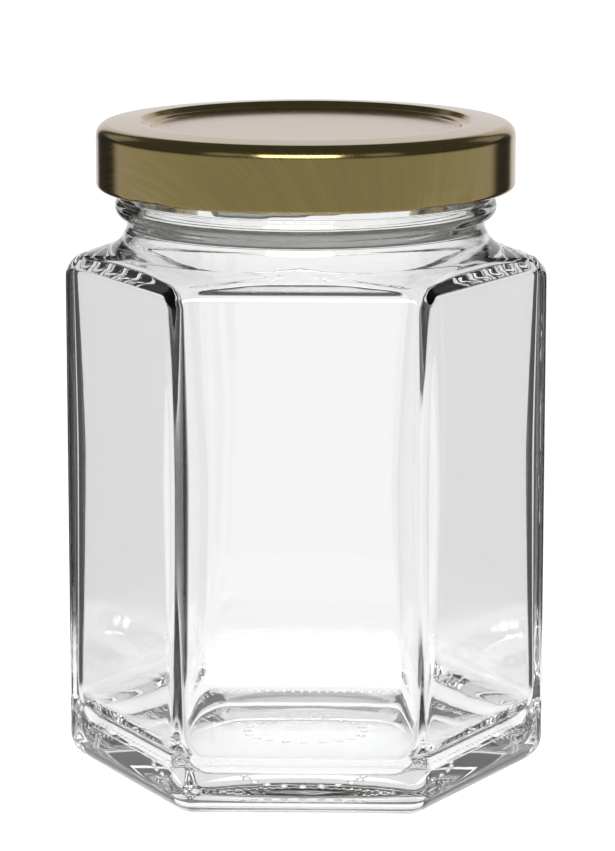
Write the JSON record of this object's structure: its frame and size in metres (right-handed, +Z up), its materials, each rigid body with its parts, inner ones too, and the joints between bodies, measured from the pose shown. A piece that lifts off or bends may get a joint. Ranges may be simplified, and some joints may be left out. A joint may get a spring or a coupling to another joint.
{
  "type": "hexagonal glass jar with twist-off lid",
  "caption": "Empty clear glass food jar with a hexagonal body, sloping shoulder and round neck, closed by a gold metal twist-off lid.",
  "frame": {"origin": "middle of the base, on the surface the jar stands on", "axes": "+Z up along the jar's axis; two opposite upright edges lie on the X axis and a flat side faces -Y"},
  "size_m": [0.0764, 0.0668, 0.1047],
  "materials": {
    "glass": "clear colourless flint glass, fire polished",
    "lid_metal": "gold lacquer over finely brushed tinplate"
  },
  "bodies": {
    "root": {"jar": "glass", "lid": "lid_metal"}
  },
  "joints": []
}
